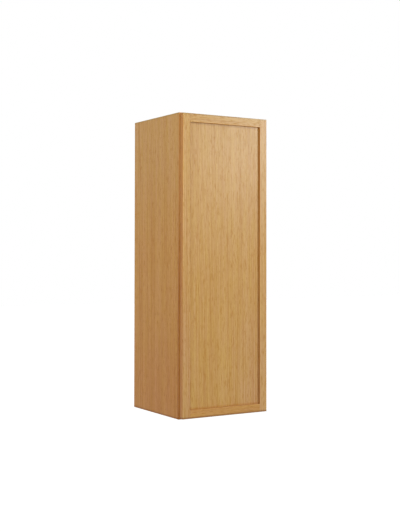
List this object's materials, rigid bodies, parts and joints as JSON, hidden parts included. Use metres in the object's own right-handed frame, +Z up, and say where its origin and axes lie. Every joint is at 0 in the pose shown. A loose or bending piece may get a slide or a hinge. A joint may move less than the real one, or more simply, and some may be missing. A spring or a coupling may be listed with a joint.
{
  "type": "kitchen wall cabinet",
  "caption": "Tall narrow kitchen wall cabinet in golden oak with a slim-framed recessed-panel door on concealed hinges, adjustable shelves and hanging rails.",
  "frame": {"origin": "on the wall plane, at the middle of the cabinet's lower back edge", "axes": "+X to the viewer's right, +Y into the wall, so the door faces -Y, and +Z up"},
  "size_m": [0.3048, 0.3072, 0.9144],
  "materials": {
    "oak_side": "satin lacquered oak veneer",
    "oak_board": "satin lacquered oak veneer",
    "oak_band_upright": "satin lacquered oak",
    "oak_band_across": "satin lacquered oak",
    "oak_stile": "satin lacquered solid oak",
    "oak_rail": "satin lacquered solid oak",
    "oak_panel": "satin lacquered oak veneer",
    "shelf_board": "satin foil on board",
    "back_board": "satin foil on board",
    "hanging_rail": "planed softwood",
    "beech_dowel": "raw beech",
    "nickel_hinge": "nickel plated",
    "fastener_steel": "zinc plated",
    "cam_zinc": "die-cast zinc",
    "peg_steel": "nickel plated",
    "clear_bumper": "clear soft polymer"
  },
  "bodies": {
    "carcass": {"left_side_panel": "oak_side", "right_side_panel": "oak_side", "top_panel": "oak_board", "bottom_panel": "oak_board", "back_panel": "back_board", "upper_hanging_rail": "hanging_rail", "lower_hanging_rail": "hanging_rail", "left_side_edge_band": "oak_band_upright", "right_side_edge_band": "oak_band_upright", "top_edge_band": "oak_band_across", "bottom_edge_band": "oak_band_across", "upper_shelf": "shelf_board", "upper_shelf_edge_band": "oak_band_across", "lower_shelf": "shelf_board", "lower_shelf_edge_band": "oak_band_across", "upper_shelf_pegs": "peg_steel", "lower_shelf_pegs": "peg_steel", "cam_discs": "cam_zinc", "cam_bolts": "fastener_steel", "corner_dowels": "beech_dowel", "upper_rail_dowels": "beech_dowel", "lower_rail_dowels": "beech_dowel", "upper_hinge_plate": "nickel_hinge", "upper_hinge_plate_screws": "fastener_steel", "upper_hinge_arm": "nickel_hinge", "upper_hinge_arm_pins": "fastener_steel", "upper_hinge_adjusting_screws": "fastener_steel", "lower_hinge_plate": "nickel_hinge", "lower_hinge_plate_screws": "fastener_steel", "lower_hinge_arm": "nickel_hinge", "lower_hinge_arm_pins": "fastener_steel", "lower_hinge_adjusting_screws": "fastener_steel"},
    "short_links": {"upper_hinge_short_links": "nickel_hinge", "lower_hinge_short_links": "nickel_hinge"},
    "door": {"hinge_stile": "oak_stile", "opening_stile": "oak_stile", "door_top_rail": "oak_rail", "door_bottom_rail": "oak_rail", "door_panel": "oak_panel", "door_bumpers": "clear_bumper", "upper_hinge_cup": "nickel_hinge", "upper_hinge_cup_screws": "fastener_steel", "upper_hinge_cup_pins": "fastener_steel", "lower_hinge_cup": "nickel_hinge", "lower_hinge_cup_screws": "fastener_steel", "lower_hinge_cup_pins": "fastener_steel"},
    "long_links": {"upper_hinge_long_link": "nickel_hinge", "lower_hinge_long_link": "nickel_hinge"}
  },
  "joints": [
    {"name": "short_link_swing", "type": "hinge", "parent": "carcass", "child": "short_links", "pos_m": [0.1256, -0.2894, 0.4572], "axis": [0, 0, 1], "range_deg": [-35, 0]},
    {"name": "door_swing", "type": "hinge", "parent": "short_links", "child": "door", "pos_m": [0.1405, -0.2935, 0.4572], "axis": [0, 0, 1], "range_deg": [0, 135]},
    {"name": "long_link_swing", "type": "hinge", "parent": "door", "child": "long_links", "pos_m": [0.14425, -0.2909, 0.4572], "axis": [0, 0, 1], "range_deg": [-123, 0]}
  ],
  "couplings": [
    {"joint": "short_link_swing", "follows": "door_swing", "ratio": -0.25926},
    {"joint": "long_link_swing", "follows": "door_swing", "ratio": -0.91111}
  ]
}
